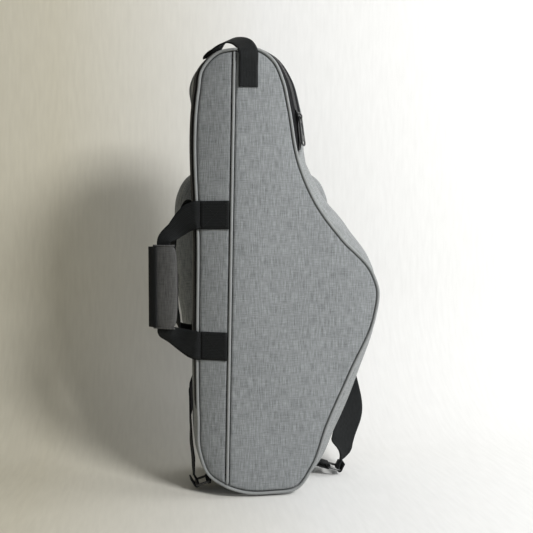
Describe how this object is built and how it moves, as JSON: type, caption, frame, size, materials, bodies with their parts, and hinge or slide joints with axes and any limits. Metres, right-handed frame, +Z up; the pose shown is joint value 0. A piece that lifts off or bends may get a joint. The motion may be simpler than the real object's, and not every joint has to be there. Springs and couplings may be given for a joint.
{
  "type": "alto saxophone soft case",
  "caption": "Padded fabric case shaped for an alto saxophone, with a zipped flap, a side carrying handle, shoulder straps behind, a top loop and a pocket on the far side",
  "frame": {"origin": "middle of the flat bottom of the case, on the floor that it stands on", "axes": "+Z up along the case, +X to the right as seen from the front panel, the front panel faces -Y"},
  "size_m": [0.3429, 0.2091, 0.6251],
  "materials": {
    "canvas": "heather grey coarse woven canvas over foam",
    "grip_cloth": "grey woven cloth over foam",
    "welt": "light grey corded piping",
    "webbing": "black ribbed webbing",
    "zip_tape": "black woven tape",
    "zip_coil": "black moulded coil",
    "dark_metal": "black satin coated metal",
    "black_plastic": "black moulded plastic",
    "plush": "short black plush",
    "foam": "plush covered foam"
  },
  "bodies": {
    "base": {"side_wall": "canvas", "back_panel": "canvas", "back_welt": "welt", "body_lining": "plush", "instrument_bed": "foam", "neck_cradle": "foam", "bow_pad": "foam", "hold_strap": "webbing", "hold_strap_patch": "plush", "lower_panel": "canvas", "lower_spine_panel": "canvas", "lower_lining": "plush", "lower_welt": "welt", "lower_crease_welt": "welt", "base_zip_tape": "zip_tape", "base_zip_coil": "zip_coil", "back_handle_upper_patch": "webbing", "back_handle_lower_patch": "webbing", "loop_stud": "dark_metal", "pocket_wall": "canvas", "pocket_base_zip": "zip_tape", "pocket_hinge_cloth": "canvas", "left_ring": "dark_metal", "left_ring_tab": "webbing", "left_shoulder_strap": "webbing", "right_ring": "dark_metal", "right_ring_tab": "webbing", "right_shoulder_strap": "webbing"},
    "flap": {"flap_panel": "canvas", "flap_spine_panel": "canvas", "flap_lining": "plush", "flap_welt": "welt", "flap_crease_welt": "welt", "flap_zip_tape": "zip_tape", "flap_zip_coil": "zip_coil", "front_handle_upper_patch": "webbing", "front_handle_lower_patch": "webbing", "top_loop": "webbing", "loop_stud_cap": "dark_metal"},
    "front_handle": {"front_handle_webbing": "webbing", "grip_wrap": "grip_cloth", "grip_edging": "webbing"},
    "back_handle": {"back_handle_webbing": "webbing"},
    "pocket_front": {"pocket_band": "canvas", "pocket_welt": "welt", "pocket_panel": "canvas", "pocket_front_zip": "zip_tape"},
    "main_slider": {"main_slider": "dark_metal"},
    "main_pull": {"main_pull": "dark_metal"},
    "pocket_slider": {"pocket_slider": "dark_metal"},
    "pocket_pull": {"pocket_pull": "dark_metal"},
    "left_adjuster": {"left_adjuster": "black_plastic"},
    "right_adjuster": {"right_adjuster": "black_plastic"}
  },
  "joints": [
    {"name": "flap_hinge", "type": "hinge", "parent": "base", "child": "flap", "pos_m": [-0.09507, -0.08795, 0.04314], "axis": [0.3053, 0, 0.9523], "range_deg": [0, 110]},
    {"name": "main_slider_slide", "type": "slide", "parent": "base", "child": "main_slider", "axis": [-0.1276, 0, 0.9918], "range_m": [0, 0.03]},
    {"name": "main_pull_hinge", "type": "hinge", "parent": "main_slider", "child": "main_pull", "pos_m": [0.04398, -0.07358, 0.51518], "axis": [-0.6085, -0.7897, -0.0783], "range_deg": [0, 150]},
    {"name": "front_handle_hinge", "type": "hinge", "parent": "flap", "child": "front_handle", "pos_m": [-0.0916, -0.06911, 0.28476], "axis": [0, 0.0087, 1], "range_deg": [0, 70]},
    {"name": "back_handle_hinge", "type": "hinge", "parent": "base", "child": "back_handle", "pos_m": [-0.1, 0.01475, 0.29376], "axis": [-0.0061, 0, -1], "range_deg": [0, 60]},
    {"name": "pocket_hinge", "type": "hinge", "parent": "base", "child": "pocket_front", "pos_m": [0.00126, 0.08705, 0.1988], "axis": [-1, 0, 0], "range_deg": [0, 45], "deforming": ["left_shoulder_strap", "right_shoulder_strap"]},
    {"name": "pocket_slider_slide", "type": "slide", "parent": "base", "child": "pocket_slider", "axis": [-0.9994, 0, 0.0341], "range_m": [0, 0.015]},
    {"name": "pocket_pull_hinge", "type": "hinge", "parent": "pocket_slider", "child": "pocket_pull", "pos_m": [0.05168, 0.0842, 0.46398], "axis": [0, -1, 0], "range_deg": [0, 150]},
    {"name": "left_adjuster_slide", "type": "slide", "parent": "base", "child": "left_adjuster", "axis": [-0.0507, -0.4788, 0.8765], "range_m": [0, 0.025]},
    {"name": "right_adjuster_slide", "type": "slide", "parent": "base", "child": "right_adjuster", "axis": [-0.0723, -0.4782, 0.8753], "range_m": [0, 0.025]}
  ]
}
